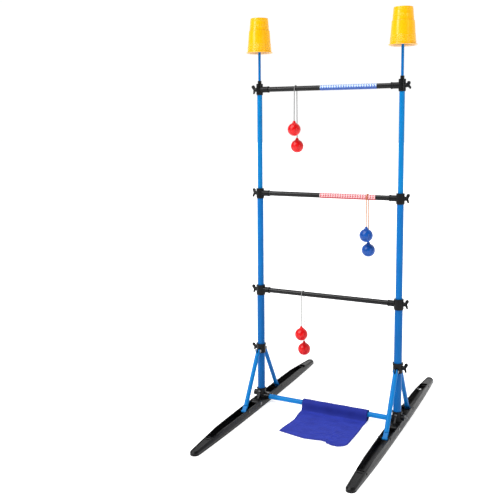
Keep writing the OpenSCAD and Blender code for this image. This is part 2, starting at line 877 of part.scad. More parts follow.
color(BLACK) rung(top_rung_z, upper_tube_d);  // top_rung
color(BLUE) band(top_rung_z);  // top_band
color(STEEL) clamp_screws(top_rung_z, upper_tube_d);  // top_screws
cup_rod("left");  // cup_rod_left
cup_rod("right");  // cup_rod_right
cup("left");  // cup_left
cup("right");  // cup_right
color(RED) bola_balls(top_bola_x, top_rung_z, top_drops);  // top_bola_balls
color(WHITE) bola_cord(top_bola_x, top_rung_z, top_drops);  // top_bola_cord
color(BALL_BLUE) bola_balls(middle_bola_x, middle_rung_z, middle_drops);  // middle_bola_balls
color(ORANGE) bola_cord(middle_bola_x, middle_rung_z, middle_drops);  // middle_bola_cord
color(RED) bola_balls(bottom_bola_x, bottom_rung_z, bottom_drops);  // bottom_bola_balls
color(WHITE) bola_cord(bottom_bola_x, bottom_rung_z, bottom_drops);  // bottom_bola_cord
flap();
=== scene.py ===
"""Looks for the ladder toss frame: materials, cloth, cords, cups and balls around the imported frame."""
import json
import math

import bmesh
import bpy
import numpy as np
from mathutils import Matrix, Vector


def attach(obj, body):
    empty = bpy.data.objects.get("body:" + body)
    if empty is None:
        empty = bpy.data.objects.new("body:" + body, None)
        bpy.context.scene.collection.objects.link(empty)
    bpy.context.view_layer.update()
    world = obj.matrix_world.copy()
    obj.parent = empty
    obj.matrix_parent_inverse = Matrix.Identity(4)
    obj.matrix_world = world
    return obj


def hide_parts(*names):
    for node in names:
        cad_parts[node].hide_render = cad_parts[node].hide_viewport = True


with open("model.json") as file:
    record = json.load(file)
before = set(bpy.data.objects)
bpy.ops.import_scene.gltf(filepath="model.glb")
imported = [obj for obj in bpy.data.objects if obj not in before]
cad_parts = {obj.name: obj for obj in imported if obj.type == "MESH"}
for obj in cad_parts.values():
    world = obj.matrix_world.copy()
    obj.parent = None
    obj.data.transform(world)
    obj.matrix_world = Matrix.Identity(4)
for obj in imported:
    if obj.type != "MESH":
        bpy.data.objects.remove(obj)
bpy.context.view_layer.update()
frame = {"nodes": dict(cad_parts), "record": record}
NODES = frame["nodes"]
MM = 0.001

# ---- Sizes shared with the CAD source, in millimetres ----
RUNG_Z = {"top": 1016, "middle": 691, "bottom": 378}
CROSSBAR_Z = 23
POST_X = 226.5
BOLA_X = {"top": -104, "middle": 128, "bottom": -80}
BOLA_DROPS = {"top": (124, 176), "middle": (113, 161), "bottom": (128, 182)}
BOLA_BODY = {"top": "top_bola", "middle": "middle_bola", "bottom": "bottom_bola"}
BALL_R = 20
NUB_H = 6
STRAND_Y = 9.7
BALL_LEAN = 2
BALL_LEAN_START = 30
CORD_D = 2.5
TWIST_SWELL = 1.08
BAND_R = 8.2
BAND_X = (-22.0, 153.0)
FLAP_W = 214.0
FLAP_X = (-77.0, 137.0)
GIRTH = 101.0
PANEL_D = 186.5
CUP_RIM_Z = 1128
CUP_H = 106
CUP_RIM_R = 37.6
CUP_END_R = 28.2
CUP_WALL = 0.9
LIP_R = 39.4
LIP_ROLL_R = 1.5
LIP_Z = 1.6


# ---- Camera ----

CAMERA_AT = (0.7758, -2.0496, 0.9100)
CAMERA_YAW_PITCH_ROLL = (-26.892, 6.443, -0.448)
CAMERA_LENS = 51.75
CAMERA_SHIFT_Y = -0.09


def make_camera():
    yaw, pitch, roll = (math.radians(a) for a in CAMERA_YAW_PITCH_ROLL)
    forward = Vector((math.sin(yaw) * math.cos(pitch), math.cos(yaw) * math.cos(pitch), -math.sin(pitch)))
    level = Vector((math.cos(yaw), -math.sin(yaw), 0))
    upright = level.cross(forward)
    right = level * math.cos(roll) + upright * math.sin(roll)
    up = upright * math.cos(roll) - level * math.sin(roll)
    data = bpy.data.cameras.new("camera")
    data.sensor_width = 36
    data.lens = CAMERA_LENS
    data.shift_y = CAMERA_SHIFT_Y
    data.clip_end = 100
    cam = bpy.data.objects.new("camera", data)
    bpy.context.scene.collection.objects.link(cam)
    turn = Matrix((right, up, -forward)).transposed().to_4x4()
    cam.matrix_world = Matrix.Translation(Vector(CAMERA_AT)) @ turn
    bpy.context.scene.camera = cam


# ---- Mesh helpers ----

def new_object(name, mesh):
    obj = bpy.data.objects.new(name, mesh)
    bpy.context.scene.collection.objects.link(obj)
    return obj


def mesh_from(name, verts, faces, material, smooth=True):
    mesh = bpy.data.meshes.new(name)
    mesh.from_pydata([tuple(v) for v in verts], [], faces)
    mesh.update()
    if smooth:
        mesh.polygons.foreach_set("use_smooth", [True] * len(mesh.polygons))
    mesh.materials.append(material)
    return new_object(name, mesh)


def lathe_rows(profile, sides):
    """Vertices and faces of a profile of (r, z) points turned about Z; points on the axis become poles."""
    verts, faces, rings = [], [], []
    for r, z in profile:
        if r < 1e-7:
            rings.append([len(verts)])
            verts.append((0, 0, z))
        else:
            rings.append(list(range(len(verts), len(verts) + sides)))
            verts += [(r * math.cos(2 * math.pi * k / sides), r * math.sin(2 * math.pi * k / sides), z)
                      for k in range(sides)]
    for a, b in zip(rings, rings[1:]):
        for k in range(sides):
            n = (k + 1) % sides
            if len(a) == 1:
                faces.append((a[0], b[n], b[k]))
            elif len(b) == 1:
                faces.append((a[k], a[n], b[0]))
            else:
                faces.append((a[k], a[n], b[n], b[k]))
    return verts, faces


def tube_along(points, radius, sides, turns_per_m, lobes, depth):
    """A tube swept along points (numpy, metres), its section a circle with lobes that twist along it."""
    points = np.array(points, float)
    tangent = np.gradient(points, axis=0)
    tangent /= np.linalg.norm(tangent, axis=1)[:, None]
    normal = np.cross(tangent[0], [1.0, 0, 0])
    normal /= np.linalg.norm(normal)
    run = np.concatenate([[0], np.cumsum(np.linalg.norm(np.diff(points, axis=0), axis=1))])
    verts, faces = [], []
    for i, (p, t) in enumerate(zip(points, tangent)):
        normal = normal - t * normal.dot(t)
        normal /= np.linalg.norm(normal)
        side = np.cross(t, normal)
        for k in range(sides):
            a = 2 * math.pi * k / sides
            lobe = abs(math.cos(lobes / 2 * (a - 2 * math.pi * turns_per_m * run[i])))
            r = radius * (1 - depth + depth * lobe)
            verts.append(p + r * (math.cos(a) * normal + math.sin(a) * side))
    n = len(points)
    for i in range(n - 1):
        for k in range(sides):
            j = (k + 1) % sides
            faces.append((i * sides + k, (i + 1) * sides + k, (i + 1) * sides + j, i * sides + j))
    faces.append(tuple(range(sides)))
    faces.append(tuple((n - 1) * sides + k for k in reversed(range(sides))))
    return verts, faces


def resampled(points, step):
    """The same line with points about step apart."""
    points = np.array(points, float)
    run = np.concatenate([[0], np.cumsum(np.linalg.norm(np.diff(points, axis=0), axis=1))])
    at = np.linspace(0, run[-1], max(2, int(round(run[-1] / step)) + 1))
    return np.stack([np.interp(at, run, points[:, k]) for k in range(3)], axis=1)


# ---- Materials ----

class Nodes:
    """A small helper that adds and links shader nodes."""

    def __init__(self, name):
        self.material = bpy.data.materials.new(name)
        self.material.use_nodes = True
        self.tree = self.material.node_tree
        self.shader = self.tree.nodes["Principled BSDF"]

    def add(self, kind, **inputs):
        node = self.tree.nodes.new(kind)
        for key, value in inputs.items():
            if hasattr(node, key):
                setattr(node, key, value)
            else:
                node.inputs[key.replace("_", " ")].default_value = value
        return node

    def link(self, a, b):
        self.tree.links.new(a, b)

    def coords(self, scale=(1, 1, 1), output="Object"):
        place = self.add("ShaderNodeTexCoord")
        mapping = self.add("ShaderNodeMapping")
        mapping.inputs["Scale"].default_value = scale
        self.link(place.outputs[output], mapping.inputs["Vector"])
        return mapping.outputs["Vector"]

    def noise(self, vector, scale, detail=3.0, roughness=0.55):
        node = self.add("ShaderNodeTexNoise", Scale=scale, Detail=detail, Roughness=roughness)
        self.link(vector, node.inputs["Vector"])
        return node.outputs["Fac"]

    def ramp(self, factor, low, high, start, end):
        node = self.add("ShaderNodeMapRange", From_Min=start, From_Max=end, To_Min=low, To_Max=high)
        self.link(factor, node.inputs["Value"])
        return node.outputs["Result"]

    def mix(self, factor, a, b):
        node = self.add("ShaderNodeMix", data_type="RGBA")
        self.link(factor, node.inputs[0])
        for socket, value in ((node.inputs[6], a), (node.inputs[7], b)):
            if isinstance(value, tuple):
                socket.default_value = (*value, 1)
            else:
                self.link(value, socket)
        return node.outputs[2]

    def math(self, operation, a, b):
        node = self.add("ShaderNodeMath", operation=operation)
        for socket, value in ((node.inputs[0], a), (node.inputs[1], b)):
            if isinstance(value, (int, float)):
                socket.default_value = value
            else:
                self.link(value, socket)
        return node.outputs[0]

    def bump(self, height, strength, distance, normal=None):
        node = self.add("ShaderNodeBump", Strength=strength, Distance=distance)
        self.link(height, node.inputs["Height"])
        if normal is not None:
            self.link(normal, node.inputs["Normal"])
        return node.outputs["Normal"]

    def rounded(self, radius):
        return self.add("ShaderNodeBevel", samples=6, Radius=radius).outputs["Normal"]

    def edges(self, radius=0.0008):
        """About 1 on sharp edges and 0 on open faces."""
        geometry = self.add("ShaderNodeNewGeometry")
        turned = self.add("ShaderNodeVectorMath", operation="DOT_PRODUCT")
        self.link(self.rounded(radius), turned.inputs[0])
        self.link(geometry.outputs["True Normal"], turned.inputs[1])
        return self.ramp(turned.outputs["Value"], 1.0, 0.0, 0.80, 0.99)

    def finish(self, color=None, roughness=None, normal=None, **constants):
        for key, value in constants.items():
            self.shader.inputs[key.replace("_", " ")].default_value = value
        for socket, value in (("Base Color", color), ("Roughness", roughness)):
            if isinstance(value, (tuple, int, float)):
                self.shader.inputs[socket].default_value = (*value, 1) if isinstance(value, tuple) else value
            elif value is not None:
                self.link(value, self.shader.inputs[socket])
        if normal is not None:
            self.link(normal, self.shader.inputs["Normal"])
        return self.material


def powder_coat(name, color, deep, gloss=0.34, peel=0.05, shine=0.12):
    """Powder coat on steel: slight orange peel, faint cloudy variation, fine handling scratches."""
    n = Nodes(name)
    place = n.coords()
    cloud = n.noise(place, 18, 4)
    base = n.mix(n.ramp(cloud, 0, 1, 0.3, 0.7), deep, color)
    scratch_place = n.coords((900, 900, 40))
    scratch = n.ramp(n.noise(scratch_place, 1, 2, 0.7), 0, 1, 0.66, 0.72)
    base = n.mix(n.math("MULTIPLY", scratch, 0.10), base, tuple(min(1.0, c * 1.4 + 0.002) for c in color))
    worn = n.math("MULTIPLY", scratch, 0.1)
    rough = n.math("ADD", n.ramp(cloud, gloss - 0.04, gloss + 0.05, 0.3, 0.7), worn)
    peel_h = n.noise(place, 700, 2)
    normal = n.bump(peel_h, peel, 0.0004, n.rounded(0.0006))
    return n.finish(base, rough, normal, Specular_IOR_Level=shine)


def moulded_plastic(name, color, worn, gloss=0.42, grain=0.25):
    """Injection-moulded plastic: fine spark texture, flow marks, edges rubbed a little paler, the pale edge
    line also standing in as a painted highlight.
    """
    n = Nodes(name)
    place = n.coords()
    flow = n.noise(n.coords((14, 14, 60)), 1, 3)
    base = n.mix(n.ramp(flow, 0, 1, 0.35, 0.7), color, tuple(c * 1.35 for c in color))
    # Pale edges: partly rubbed wear, partly a painted highlight along the edges.
    edge_wear_and_highlight = n.math("MULTIPLY", n.edges(), n.ramp(n.noise(place, 160, 3), 0, 1, 0.4, 0.65))
    base = n.mix(n.math("MULTIPLY", edge_wear_and_highlight, 0.4), base, worn)
    speck = n.ramp(n.noise(place, 2600, 1), 0, 1, 0.35, 0.7)
    rough = n.math("ADD", n.ramp(flow, gloss - 0.05, gloss + 0.07, 0.3, 0.7), n.math("MULTIPLY", speck, 0.05))
    height = n.math("ADD", speck, n.noise(place, 420, 2))
    normal = n.bump(height, grain, 0.00012, n.rounded(0.0007))
    return n.finish(base, rough, normal, Specular_IOR_Level=0.14)


def zinc_steel(name):
    n = Nodes(name)
    cloud = n.noise(n.coords(), 300, 3)
    base = n.mix(cloud, (0.10, 0.10, 0.105), (0.22, 0.22, 0.225))
    brushed = n.noise(n.coords((2500, 300, 300)), 1, 2)
    normal = n.bump(brushed, 0.15, 0.0001, n.rounded(0.0004))
    return n.finish(base, n.ramp(cloud, 0.24, 0.42, 0.3, 0.7), normal, Metallic=1.0)


def cup_plastic(name):
    """Thin polystyrene: glossy."""
    n = Nodes(name)
    place = n.coords()
    cloud = n.noise(place, 40, 3)
    base = n.mix(n.ramp(cloud, 0, 1, 0.3, 0.7), (0.84, 0.40, 0.0), (0.86, 0.42, 0.0))
    draw = n.noise(n.coords((260, 260, 9)), 1, 2)
    rough = n.ramp(cloud, 0.20, 0.30, 0.3, 0.7)
    return n.finish(base, rough, n.bump(draw, 0.05, 0.0003), Specular_IOR_Level=0.3)


def cup_lining(name):
    """The cup's pale inside."""
    n = Nodes(name)
    cloud = n.noise(n.coords(), 60, 3)
    base = n.mix(n.ramp(cloud, 0, 1, 0.3, 0.7), (0.66, 0.40, 0.18), (0.72, 0.46, 0.23))
    return n.finish(base, n.ramp(cloud, 0.3, 0.42, 0.3, 0.7), n.bump(cloud, 0.05, 0.0003))


def ball_plastic(name, color, deep):
    """A hard hollow ball: satin skin, faint mottling, small scuffs."""
    n = Nodes(name)
    place = n.coords()
    cloud = n.noise(place, 90, 4)
    base = n.mix(n.ramp(cloud, 0, 1, 0.35, 0.68), deep, color)
    scuff = n.ramp(n.noise(n.coords((160, 420, 160)), 1, 4, 0.7), 0, 1, 0.62, 0.7)
    base = n.mix(n.math("MULTIPLY", scuff, 0.18), base, tuple(min(1.0, c * 1.3 + 0.02) for c in color))
    rough = n.math("ADD", n.ramp(cloud, 0.26, 0.36, 0.3, 0.7), n.math("MULTIPLY", scuff, 0.12))
    skin = n.noise(place, 800, 2)
    return n.finish(base, rough, n.bump(skin, 0.10, 0.0003), Specular_IOR_Level=0.32)


def cord_fibre(name, color, shade):
    """Twisted fibre: fine hairs along the strands, shade between them."""
    n = Nodes(name)
    place = n.coords()
    fibre = n.noise(n.coords((5200, 5200, 1500)), 1, 2)
    base = n.mix(n.ramp(fibre, 0, 1, 0.3, 0.75), shade, color)
    base = n.mix(n.ramp(n.noise(place, 220, 2), 0, 0.25, 0.4, 0.7), base, shade)
    return n.finish(base, n.ramp(fibre, 0.7, 0.9, 0.3, 0.7), n.bump(fibre, 0.5, 0.0002), Sheen_Weight=0.04,
                    Sheen_Roughness=0.5, Specular_IOR_Level=0.15)


THREAD_SCALE = 310.0
HEM_W = 0.0062
STITCH_IN = 0.0055


def woven_cloth(name, color, deep):
    """Plain weave on UVs in metres: warp and weft threads with a soft sheen."""
    n = Nodes(name)
    place = n.coords(output="UV")
    height = None
    for axis in ("X", "Y"):
        wave = n.add("ShaderNodeTexWave", wave_type="BANDS", bands_direction=axis, Scale=THREAD_SCALE)
        for socket, value in (("Distortion", 1.2), ("Detail", 1.0), ("Detail Scale", 2.0)):
            wave.inputs[socket].default_value = value
        n.link(place, wave.inputs["Vector"])
        height = wave.outputs["Fac"] if height is None else n.math("MULTIPLY", height, wave.outputs["Fac"])
    cloud = n.noise(n.coords((1, 1.6, 1), "UV"), 26, 6, 0.62)
    slub = n.noise(n.coords((40, 900, 1), "UV"), 1, 3)
    base = n.mix(n.ramp(cloud, 0, 1, 0.3, 0.7), deep, color)
    # Painted shade in the hollows of the weave between the threads.
    base = n.mix(n.ramp(height, 0.35, 0.0, 0.0, 0.5), base, tuple(c * 0.55 for c in deep))
    base = n.mix(n.ramp(slub, 0, 0.2, 0.5, 0.75), base, tuple(min(1, c * 1.4) for c in color))
    split = n.add("ShaderNodeSeparateXYZ")
    n.link(n.add("ShaderNodeTexCoord").outputs["UV"], split.inputs[0])
    across, along = split.outputs["X"], split.outputs["Y"]
    # Painted shade: the sleeve, up to its seam with the panel, is painted darker than the panel lying flat.
    sleeve = n.ramp(along, 0.55, 0.0, GIRTH * MM - 0.003, GIRTH * MM + 0.001)
    base = n.mix(sleeve, base, tuple(c * 0.62 for c in deep))
    to_side = n.math("MINIMUM", across, n.math("SUBTRACT", FLAP_W * MM, across))
    to_edge = n.math("MINIMUM", to_side, n.math("SUBTRACT", (GIRTH + PANEL_D) * MM, along))
    hem = n.ramp(to_edge, 1.0, 0.0, HEM_W, HEM_W + 0.001)
    stitch = n.math("COMPARE", to_edge, STITCH_IN)
    stitch.node.inputs[2].default_value = 0.0005
    dash = n.ramp(n.math("FRACT", n.math("MULTIPLY", n.math("ADD", across, along), 280.0), 0), 0, 1, 0.3, 0.4)
    stitch = n.math("MULTIPLY", stitch, dash)
    base = n.mix(n.math("MULTIPLY", hem, 0.35), base, tuple(c * 0.45 for c in deep))
    base = n.mix(n.math("MULTIPLY", stitch, 0.5), base, tuple(min(1, c * 1.5) for c in color))
    relief = n.bump(n.math("ADD", hem, n.math("MULTIPLY", stitch, 0.4)), 0.5, 0.0006)
    normal = n.bump(height, 0.35, 0.0002, n.bump(slub, 0.2, 0.0002, relief))
    return n.finish(base, n.ramp(cloud, 0.72, 0.86, 0.3, 0.7), normal, Sheen_Weight=0.04, Sheen_Roughness=0.4,
                    Specular_IOR_Level=0.15)


BLOCK_PITCH = 0.0078
BLOCK_ROW = 0.0052


def printed_band(name, ink, paper, under, underside_shade_share):
    """A sleeve with rows of small slanted blocks; the given share of its girth, below, is painted solid and
    darker as painted shade.
    """
    n = Nodes(name)
    place = n.add("ShaderNodeTexCoord").outputs["UV"]
    split = n.add("ShaderNodeSeparateXYZ")
    n.link(place, split.inputs[0])
    along, round_it = split.outputs["X"], split.outputs["Y"]
    slant = n.math("ADD", along, n.math("MULTIPLY", n.math("PINGPONG", round_it, 0.004), 0.5))
    stripe = n.math("FRACT", n.math("MULTIPLY", slant, 1 / BLOCK_PITCH), 0)
    row = n.math("FRACT", n.math("MULTIPLY", round_it, 1 / BLOCK_ROW), 0)
    block = n.math("MULTIPLY", n.ramp(stripe, 0, 1, 0.40, 0.46), n.ramp(row, 0, 1, 0.20, 0.26))
    girth = 2 * math.pi * BAND_R * MM
    # Painted shade: the underside of the band is painted in solid ink.
    underside_shade = n.math("COMPARE", round_it, girth * (0.5 + 0.02))
    underside_shade.node.inputs[2].default_value = girth * underside_shade_share / 2
    block = n.math("MAXIMUM", block, underside_shade)
    cloud = n.noise(n.coords((1, 1, 1), "UV"), 180, 3)
    shade = n.mix(block, paper, ink)
    # Cloud dirt, plus painted shade mixed in strongly on the underside.
    dirt_and_underside_shade = n.math("MAXIMUM", n.ramp(cloud, 0, 0.12, 0.3, 0.7), n.math("MULTIPLY", underside_shade, 0.8))
    base = n.mix(dirt_and_underside_shade, shade, under)
    return n.finish(base, n.ramp(cloud, 0.38, 0.5, 0.3, 0.7), n.bump(block, 0.2, 0.0001), Coat_Weight=0.15)


def floor_paper(name):
    n = Nodes(name)
    cloud = n.noise(n.coords(), 3, 3)
    return n.finish(n.mix(cloud, (0.93, 0.93, 0.93), (0.95, 0.95, 0.95)), 0.7, None, Specular_IOR_Level=0.2,
                    Emission_Color=(1, 1, 1, 1), Emission_Strength=0.5)


MAT = {
    "blue_paint": powder_coat("blue_paint", (0.0, 0.135, 0.42), (0.0, 0.106, 0.35)),
    # Lit and shaded copies of the blue: the upper and front copies are painted light, the lower copy is
    # painted shade.
    "blue_paint_painted_light_upper": powder_coat("blue_paint_painted_light_upper", (0.0, 0.175, 0.46), (0.0, 0.145, 0.40)),
    "blue_paint_painted_light": powder_coat("blue_paint_painted_light", (0.0, 0.175, 0.50), (0.0, 0.142, 0.42)),
    "blue_paint_shaded": powder_coat("blue_paint_shaded", (0.0, 0.110, 0.36), (0.0, 0.088, 0.30)),
    "black_paint": powder_coat("black_paint", (0.006, 0.006, 0.0064), (0.004, 0.004, 0.0043),
                               gloss=0.25, peel=0.03, shine=0.20),
    "black_plastic": moulded_plastic("black_plastic", (0.003, 0.003, 0.0032), (0.06, 0.06, 0.06), 0.26),
    "bush_plastic": moulded_plastic("bush_plastic", (0.75, 0.75, 0.72), (0.8, 0.8, 0.78)),
    "steel": zinc_steel("steel"),
    "yellow_plastic": cup_plastic("yellow_plastic"),
    "cup_lining": cup_lining("cup_lining"),
    "red_ball": ball_plastic("red_ball", (0.70, 0.001, 0.003), (0.52, 0.0, 0.002)),
    "blue_ball": ball_plastic("blue_ball", (0.0, 0.070, 0.35), (0.0, 0.047, 0.25)),
    "white_cord": cord_fibre("white_cord", (0.27, 0.27, 0.265), (0.12, 0.12, 0.12)),
    "orange_cord": cord_fibre("orange_cord", (0.52, 0.165, 0.0), (0.32, 0.09, 0.0)),
    "blue_cloth": woven_cloth("blue_cloth", (0.030, 0.050, 0.42), (0.015, 0.026, 0.27)),
    # The third colour of each band is the painted shade on its underside.
    "red_band": printed_band("red_band", (0.46, 0.004, 0.014), (0.66, 0.46, 0.48),
                             (0.36, 0.003, 0.008), underside_shade_share=0.30),
    "blue_band": printed_band("blue_band", (0.010, 0.085, 0.42), (0.56, 0.68, 0.80),
                              (0.004, 0.05, 0.26), underside_shade_share=0.42),
}


def paint_for(name, slot):
    """The blue is painted a little lighter on the upper tubes, front struts and crossbar as painted light,
    and deeper on the lower tubes as painted shade.
    """
    if slot == "blue_paint" and name.startswith("upper_tube"):
        return MAT["blue_paint_painted_light_upper"]
    if slot == "blue_paint" and name.startswith(("strut_front", "crossbar")):
        return MAT["blue_paint_painted_light"]
    if slot == "blue_paint" and name.startswith("lower_tube"):
        return MAT["blue_paint_shaded"]
    return MAT[slot]


SHARP_ANGLE = 28


def dress_nodes():
    """Gives every CAD node its procedural material and smooth shading across its curved faces."""
    slots = {row["node"]: row["material_slot"] for row in frame["record"]["subparts"]}
    for name, obj in NODES.items():
        obj.data.materials.clear()
        obj.data.materials.append(paint_for(name, slots[name]))
        obj.data.polygons.foreach_set("use_smooth", [True] * len(obj.data.polygons))
        obj.data.set_sharp_from_angle(angle=math.radians(SHARP_ANGLE))


# ---- Bolas ----

def bola_route(level):
    """The cord's centre line in millimetres, from the front ball's neck over the rung to the rear ball's."""
    front, rear = BOLA_DROPS[level]

    def strand(sign, drop, steps):
        length = drop - BALL_R - NUB_H
        left = [1 - i / steps for i in range(steps + 1)]
        return [(sign * (STRAND_Y + BALL_LEAN * share), -length * share) for share in left]

    bend = 22.5
    over = [(STRAND_Y * math.cos(math.radians(a)), STRAND_Y * math.sin(math.radians(a)))
            for a in np.arange(180 - bend, bend / 2, -bend)]
    points = strand(-1, front, 14) + over + strand(1, rear, 20)[::-1]
    return [(BOLA_X[level], y, RUNG_Z[level] + z) for y, z in points]


def smooth_line(points, step):
    """Catmull-Rom through the route, then evenly spaced."""
    p = np.array(points, float)
    out = []
    ext = np.vstack([2 * p[0] - p[1], p, 2 * p[-1] - p[-2]])
    for i in range(1, len(ext) - 2):
        a, b, c, d = ext[i - 1:i + 3]
        slope, square, cube = c - a, 2 * a - 5 * b + 4 * c - d, 3 * b - a - 3 * c + d
        for t in np.linspace(0, 1, 8, endpoint=False):
            out.append(0.5 * (2 * b + slope * t + square * t ** 2 + cube * t ** 3))
    out.append(p[-1])
    return resampled(out, step)


def make_cords():
    for level in ("top", "middle", "bottom"):
        color = "orange_cord" if level == "middle" else "white_cord"
        line = smooth_line(bola_route(level), 0.55) * MM
        radius = CORD_D / 2 * MM * TWIST_SWELL
        verts, faces = tube_along(line, radius, 18, turns_per_m=105, lobes=3, depth=0.12)
        cord = mesh_from(f"{level}_bola_rope", verts, faces, MAT[color])
        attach(cord, BOLA_BODY[level])
        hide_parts(f"{level}_bola_cord")


def ball_profile():
    """A ball with a moulded seam and a flared neck where the cord goes in, as (r, z) points."""
    seam_h, seam_w, neck_z = 0.22, 0.45, 17.2
    profile = [(0.0, -BALL_R)]
    for i in range(1, 60):
        a = math.radians(-90 + 3 * i)
        z = BALL_R * math.sin(a)
        if z > neck_z:
            break
        seam = seam_h * math.exp(-(z / seam_w) ** 2)
        profile.append(((BALL_R + seam) * math.cos(a), (BALL_R + seam) * math.sin(a)))
    flare = [(8.6, 17.9), (6.9, 19.2), (5.6, 20.6), (4.7, 22.0), (4.1, 23.4), (3.9, 24.6), (3.6, 25.5)]
    mouth = [(2.9, 26.0), (1.9, 26.0), (1.5, 25.4), (1.45, 23.0), (0.0, 22.5)]
    return profile + flare + mouth


def make_balls():
    profile = [(r * MM, z * MM) for r, z in ball_profile()]
    for level in ("top", "middle", "bottom"):
        color = "blue_ball" if level == "middle" else "red_ball"
        verts, faces = [], []
        for sign, drop in zip((-1, 1), BOLA_DROPS[level]):
            v, f = lathe_rows(profile, 72)
            lean = Matrix.Rotation(math.atan2(BALL_LEAN, drop - BALL_LEAN_START) * sign, 4, "X")
            centre = Vector((BOLA_X[level], sign * (STRAND_Y + BALL_LEAN), RUNG_Z[level] - drop)) * MM
            base = len(verts)
            verts += [tuple(centre + lean @ Vector(p)) for p in v]
            faces += [tuple(base + i for i in face) for face in f]
        balls = mesh_from(f"{level}_bola_pair", verts, faces, MAT[color])
        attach(balls, BOLA_BODY[level])
        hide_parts(f"{level}_bola_balls")


# ---- Cups ----

def cup_profiles():
    """The rim's roll, the whole outer skin and the inner skin as (r, z) points, in millimetres."""
    slope = (CUP_RIM_R - CUP_END_R) / CUP_H
    step_z = CUP_H * 0.64

    def skin(z):
        r = CUP_RIM_R - slope * z
        r += 0.8 * max(0.0, min(1.0, (z - 30) / 38)) if z < step_z else -1.0
        for ring in (9, 13.5, 18, 22.5, 27):
            r += 0.75 * math.exp(-((z - ring) / 1.1) ** 2)
        for ring in (80, 84.5, CUP_H - 9, CUP_H - 4.5):
            r += 0.45 * math.exp(-((z - ring) / 0.9) ** 2)
        return r

    roll = [(LIP_R + LIP_ROLL_R * math.cos(math.radians(a)), LIP_Z + LIP_ROLL_R * math.sin(math.radians(a)))
            for a in range(-180, 131, 22)]
    heights = [4.0] + [4.5 + 0.5 * i for i in range(int((CUP_H - 6.5) * 2))]
    outer = [(skin(z), z) for z in heights]
    foot = [(1.2, 0.2), (2.4, 0.05), (3.4, 0.7), (3.9, 2.2), (4.6, 3.1), (6, 3.4)]
    crown = [(skin(CUP_H - 2) - 0.5, CUP_H - 0.9)] + [(CUP_END_R - r, CUP_H - z) for r, z in foot]
    dish = [(r, CUP_H - 3.4 - 0.15 * math.cos(r)) for r in (18, 14, 10, 7, 4, 2)] + [(0.0, CUP_H - 3.5)]
    inner_top = [(r, CUP_H - 4.6) for r in (0.0, 10, 18)] + [(CUP_END_R - 5.0, CUP_H - 4.7)]
    inner = [(skin(z) - CUP_WALL, z) for z in reversed(heights) if z < CUP_H - 5]
    to_roll = [(CUP_RIM_R - 0.4, 2.4), roll[0]]
    return roll, roll + outer + crown + dish, inner_top + inner + to_roll


def make_cups():
    """The cup's outside is yellow; its inside and the underside of its lip are pale."""
    roll, outside, inside = cup_profiles()
    sides = 128
    under_lip = sides * (len(roll) // 2)
    for side, sign in (("left", -1), ("right", 1)):
        place = Vector((sign * POST_X, 0, CUP_RIM_Z)) * MM
        verts, faces = lathe_rows([(r * MM, z * MM) for r, z in outside], sides)
        skin_faces, base = len(faces), len(verts)
        v, f = lathe_rows([(r * MM, z * MM) for r, z in inside], sides)
        verts += v
        faces += [tuple(base + i for i in face) for face in f]
        cup = mesh_from(f"{side}_cup_shell", [Vector(p) + place for p in verts], faces, MAT["yellow_plastic"])
        cup.data.materials.append(MAT["cup_lining"])
        for i, polygon in enumerate(cup.data.polygons):
            polygon.material_index = 0 if under_lip <= i < skin_faces else 1
        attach(cup, f"cup_{side}")
        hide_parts(f"cup_{side}")


# ---- Printed bands ----

def make_bands():
    for level, color, body in (("top", "blue_band", "top_stage"), ("middle", "red_band", "middle_stage")):
        (x0, x1), sides, steps = BAND_X, 64, 70
        verts, faces = [], []
        for i in range(steps + 1):
            x = x0 + (x1 - x0) * i / steps
            r = BAND_R - (0.25 if i in (0, steps) else 0.0)
            for k in range(sides):
                a = 2 * math.pi * k / sides
                verts.append(Vector((x, r * math.sin(a), RUNG_Z[level] + r * math.cos(a))) * MM)
        for i in range(steps):
            for k in range(sides):
                j = (k + 1) % sides
                faces.append((i * sides + k, i * sides + j, (i + 1) * sides + j, (i + 1) * sides + k))
        band = mesh_from(f"{level}_grip_band", verts, faces, MAT[color])
        uv = band.data.uv_layers.new(name="UVMap")
        for polygon in band.data.polygons:
            i, k = divmod(polygon.index, sides)
            for loop, (di, dk) in zip(polygon.loop_indices, ((0, 0), (0, 1), (1, 1), (1, 0))):
                x = (x1 - x0) * (i + di) / steps
                uv.data[loop].uv = (x * MM, 2 * math.pi * BAND_R * (k + dk) / sides * MM)
        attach(band, body)
        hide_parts(f"{level}_band")


# ---- Cloth flap ----

FLAP_STEP = 4.0
CLOTH_T = 0.0007
CLOTH_CLEAR = 0.0008
SLEEVE_R = 13.4
PANEL_Z = 1.4
PANEL_LEFT = ((0.0, -81.0), (0.45, -73.0), (1.0, -82.0))
PANEL_RIGHT = ((0.0, 133.0), (0.3, 136.0), (0.92, 137.0), (1.0, 131.0))
PANEL_FRONT = ((0.0, -184.0), (0.41, -201.0), (0.65, -195.0), (0.81, -212.0), (0.93, -210.0), (1.0, -199.0))


def between(table, t):
    return float(np.interp(t, [a for a, _ in table], [b for _, b in table]))


def sleeve_line():
    """The sleeve's section as (x, y, z) points: under the bar to its rear, over it, and down in front."""
    under = [(-15.5, 4.2), (-7, 2.6), (2, 3.4), (9, 9.5), (12.8, 17.5)]
    over = [(SLEEVE_R * math.cos(math.radians(a)), CROSSBAR_Z + SLEEVE_R * math.sin(math.radians(a)))
            for a in range(0, 181, 20)]
    front = [(-14.0, 17.0), (-15.0, 10.5), (-18.5, 4.0)]
    return smooth_line(np.array([(0.0, y, z) for y, z in under + over + front]), FLAP_STEP)


